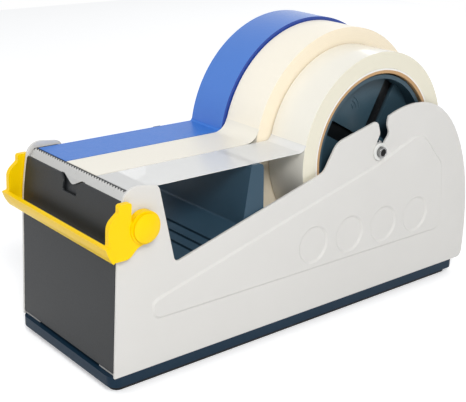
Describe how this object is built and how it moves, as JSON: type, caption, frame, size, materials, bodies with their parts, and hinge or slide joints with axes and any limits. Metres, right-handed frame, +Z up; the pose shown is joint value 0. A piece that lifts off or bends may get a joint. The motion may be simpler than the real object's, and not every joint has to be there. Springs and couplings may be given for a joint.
{
  "type": "tape dispenser",
  "caption": "Bench tape dispenser with grey steel side plates on a dark blue weighted base, a serrated blade under a yellow swing guard, a parts bin, and tape rolls on one lift-out axle.",
  "frame": {"origin": "on the table under the middle of the base, halfway between the side plates", "axes": "+X towards the right side plate as seen when standing in front of the blade, -Y towards the blade, +Z up; the tapes run along Y and the axle along X"},
  "size_m": [0.0914, 0.237, 0.1403],
  "materials": {
    "plate": "satin light grey powder coat",
    "front": "satin charcoal powder coat",
    "navy": "moulded, fine grain",
    "mat": "matt",
    "steel": "bright",
    "ballast": "rough cast",
    "nylon": "natural nylon",
    "yellow": "glossy",
    "plug": "matt black",
    "hub": "moulded satin",
    "card": "spiral wound board",
    "blue_tape": "satin film",
    "cream_tape": "satin film",
    "clear_tape": "translucent film"
  },
  "bodies": {
    "frame": {"side_plate_right": "plate", "side_plate_left": "plate", "front_plate": "front", "front_frame": "plate", "rear_cover": "plate", "base_rails": "plate", "base_slab": "navy", "rubber_mat": "mat", "base_screws": "steel", "ballast": "ballast", "ballast_screws": "steel", "bin_insert": "navy", "insert_screws": "steel", "tape_platform": "front", "blade": "steel", "blade_screws": "steel", "pivot_studs": "steel", "pivot_nuts": "steel", "guard_washers": "nylon", "blue_strip": "blue_tape", "cream_strip": "cream_tape", "clear_strip": "clear_tape"},
    "guard": {"guard": "yellow", "guard_caps": "yellow"},
    "axle": {"axle": "steel", "axle_bushes": "nylon", "axle_clips": "steel", "axle_plugs": "plug"},
    "blue_wheel": {"blue_hub": "hub", "blue_core": "card", "blue_roll": "blue_tape"},
    "cream_wheel": {"cream_hub": "hub", "cream_core": "card", "cream_roll": "cream_tape"},
    "clear_wheel": {"clear_hub": "hub", "clear_core": "card", "clear_roll": "clear_tape"}
  },
  "joints": [
    {"name": "guard_swing", "type": "hinge", "parent": "frame", "child": "guard", "pos_m": [0, -0.0987, 0.0748], "axis": [-1, 0, 0], "range_deg": [0, 94]},
    {"name": "axle_turn", "type": "hinge", "parent": "frame", "child": "axle", "pos_m": [0, 0.0432, 0.0819], "axis": [1, 0, 0], "continuous": true},
    {"name": "blue_spin", "type": "hinge", "parent": "axle", "child": "blue_wheel", "pos_m": [-0.0246, 0.0432, 0.0819], "axis": [1, 0, 0], "continuous": true},
    {"name": "cream_spin", "type": "hinge", "parent": "axle", "child": "cream_wheel", "pos_m": [0, 0.0432, 0.0819], "axis": [1, 0, 0], "continuous": true},
    {"name": "clear_spin", "type": "hinge", "parent": "axle", "child": "clear_wheel", "pos_m": [0.0246, 0.0432, 0.0819], "axis": [1, 0, 0], "continuous": true}
  ]
}
